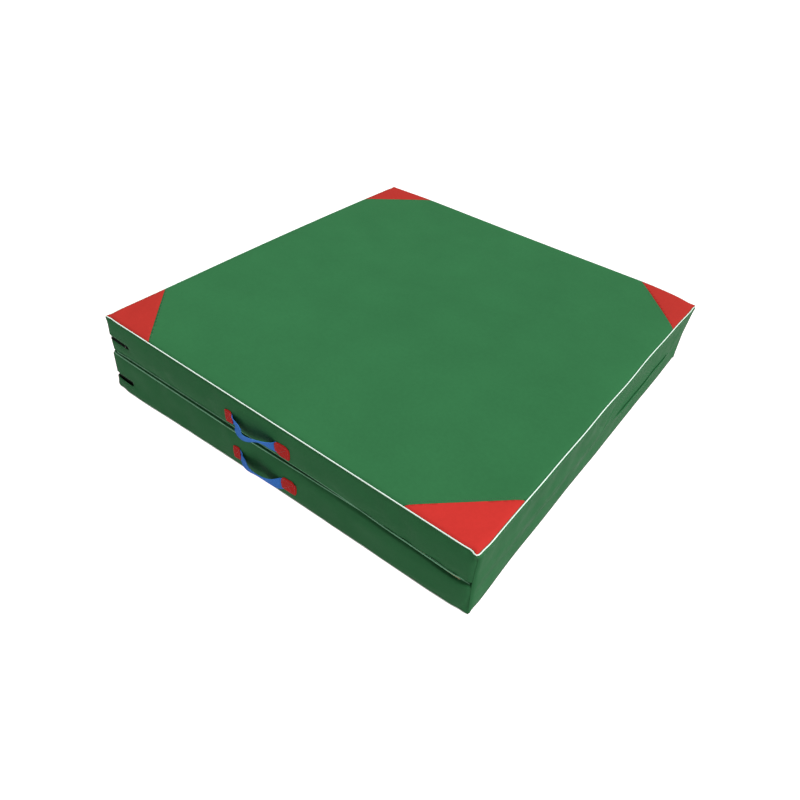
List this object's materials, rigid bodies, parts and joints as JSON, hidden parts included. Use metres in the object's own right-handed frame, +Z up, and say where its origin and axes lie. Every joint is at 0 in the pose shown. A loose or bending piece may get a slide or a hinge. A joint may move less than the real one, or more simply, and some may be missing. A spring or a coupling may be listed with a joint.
{
  "type": "folding gym mat",
  "caption": "Bi-fold padded gym mat, folded shut, with a cloth hinge, zipped covers, red corner patches, piping and carrying straps.",
  "frame": {"origin": "middle of the lower panel's outer face, which lies on the floor", "axes": "+Z up, +X towards the hinge side, -X towards the zips, -Y towards the side with the carrying handles"},
  "size_m": [0.9924, 1.061, 0.1969],
  "materials": {
    "cover_green": "satin coated cloth",
    "cover_red": "satin coated cloth",
    "handle_patch_red": "satin coated cloth",
    "webbing_blue": "woven webbing",
    "piping_white": "satin",
    "piping_pale_green": "satin",
    "foam_firm": "closed-cell foam",
    "foam_soft": "open-cell foam",
    "zip_tape": "woven tape",
    "zip_coil": "satin",
    "zip_metal": "satin"
  },
  "bodies": {
    "lower_panel": {"lower_corner_patch_hinge_back": "cover_red", "lower_corner_patch_hinge_handle": "cover_red", "lower_corner_patch_zip_back": "cover_red", "lower_corner_patch_zip_handle": "cover_red", "lower_cover_back_wall": "cover_green", "lower_cover_handle_wall": "cover_green", "lower_cover_hinge_wall": "cover_green", "lower_cover_inner_face": "cover_green", "lower_cover_outer_face": "cover_green", "lower_cover_zip_wall_inner_strip": "cover_green", "lower_cover_zip_wall_outer_strip": "cover_green", "lower_foam_base_layer": "foam_firm", "lower_foam_soft_layer": "foam_soft", "lower_handle_patch_hinge_side": "handle_patch_red", "lower_handle_patch_zip_side": "handle_patch_red", "lower_handle_strap_ends": "webbing_blue", "lower_hinge_leaf": "cover_green", "lower_inner_piping": "piping_pale_green", "lower_outer_piping": "piping_white", "lower_zip_coils": "zip_coil", "lower_zip_end_stops": "zip_metal", "lower_zip_tapes": "zip_tape"},
    "lower_slider": {"lower_zip_slider": "zip_metal"},
    "lower_pull_tab": {"lower_zip_pull": "zip_metal"},
    "lower_handle": {"lower_handle_strap": "webbing_blue"},
    "upper_panel": {"upper_corner_patch_hinge_back": "cover_red", "upper_corner_patch_hinge_handle": "cover_red", "upper_corner_patch_zip_back": "cover_red", "upper_corner_patch_zip_handle": "cover_red", "upper_cover_back_wall": "cover_green", "upper_cover_handle_wall": "cover_green", "upper_cover_hinge_wall": "cover_green", "upper_cover_inner_face": "cover_green", "upper_cover_outer_face": "cover_green", "upper_cover_zip_wall_inner_strip": "cover_green", "upper_cover_zip_wall_outer_strip": "cover_green", "upper_foam_base_layer": "foam_firm", "upper_foam_soft_layer": "foam_soft", "upper_handle_patch_hinge_side": "handle_patch_red", "upper_handle_patch_zip_side": "handle_patch_red", "upper_handle_strap_ends": "webbing_blue", "upper_hinge_leaf": "cover_green", "upper_inner_piping": "piping_pale_green", "upper_outer_piping": "piping_white", "upper_zip_coils": "zip_coil", "upper_zip_end_stops": "zip_metal", "upper_zip_tapes": "zip_tape"},
    "upper_slider": {"upper_zip_slider": "zip_metal"},
    "upper_pull_tab": {"upper_zip_pull": "zip_metal"},
    "upper_handle": {"upper_handle_strap": "webbing_blue"}
  },
  "joints": [
    {"name": "panel_fold", "type": "hinge", "parent": "lower_panel", "child": "upper_panel", "pos_m": [0.494, 0, 0.08444], "axis": [0, 1, 0], "range_deg": [0, 178.34]},
    {"name": "lower_zip_slide", "type": "slide", "parent": "lower_panel", "child": "lower_slider", "axis": [0, 1, 0], "range_m": [-0.994, 0]},
    {"name": "lower_zip_pull_swing", "type": "hinge", "parent": "lower_slider", "child": "lower_pull_tab", "pos_m": [-0.4955, 0.497, 0.033], "axis": [0, 0, -1], "range_deg": [0, 165]},
    {"name": "lower_handle_swing", "type": "hinge", "parent": "lower_panel", "child": "lower_handle", "pos_m": [-0.01, -0.523, 0.04], "axis": [-1, 0, 0], "range_deg": [0, 130]},
    {"name": "upper_zip_slide", "type": "slide", "parent": "upper_panel", "child": "upper_slider", "axis": [0, 1, 0], "range_m": [-0.994, 0]},
    {"name": "upper_zip_pull_swing", "type": "hinge", "parent": "upper_slider", "child": "upper_pull_tab", "pos_m": [-0.49437, 0.497, 0.13814], "axis": [-0.0286, 0, -0.9996], "range_deg": [0, 165]},
    {"name": "upper_handle_swing", "type": "hinge", "parent": "upper_panel", "child": "upper_handle", "pos_m": [-0.0255, -0.523, 0.12674], "axis": [-0.9996, 0, 0.0286], "range_deg": [0, 130]}
  ]
}
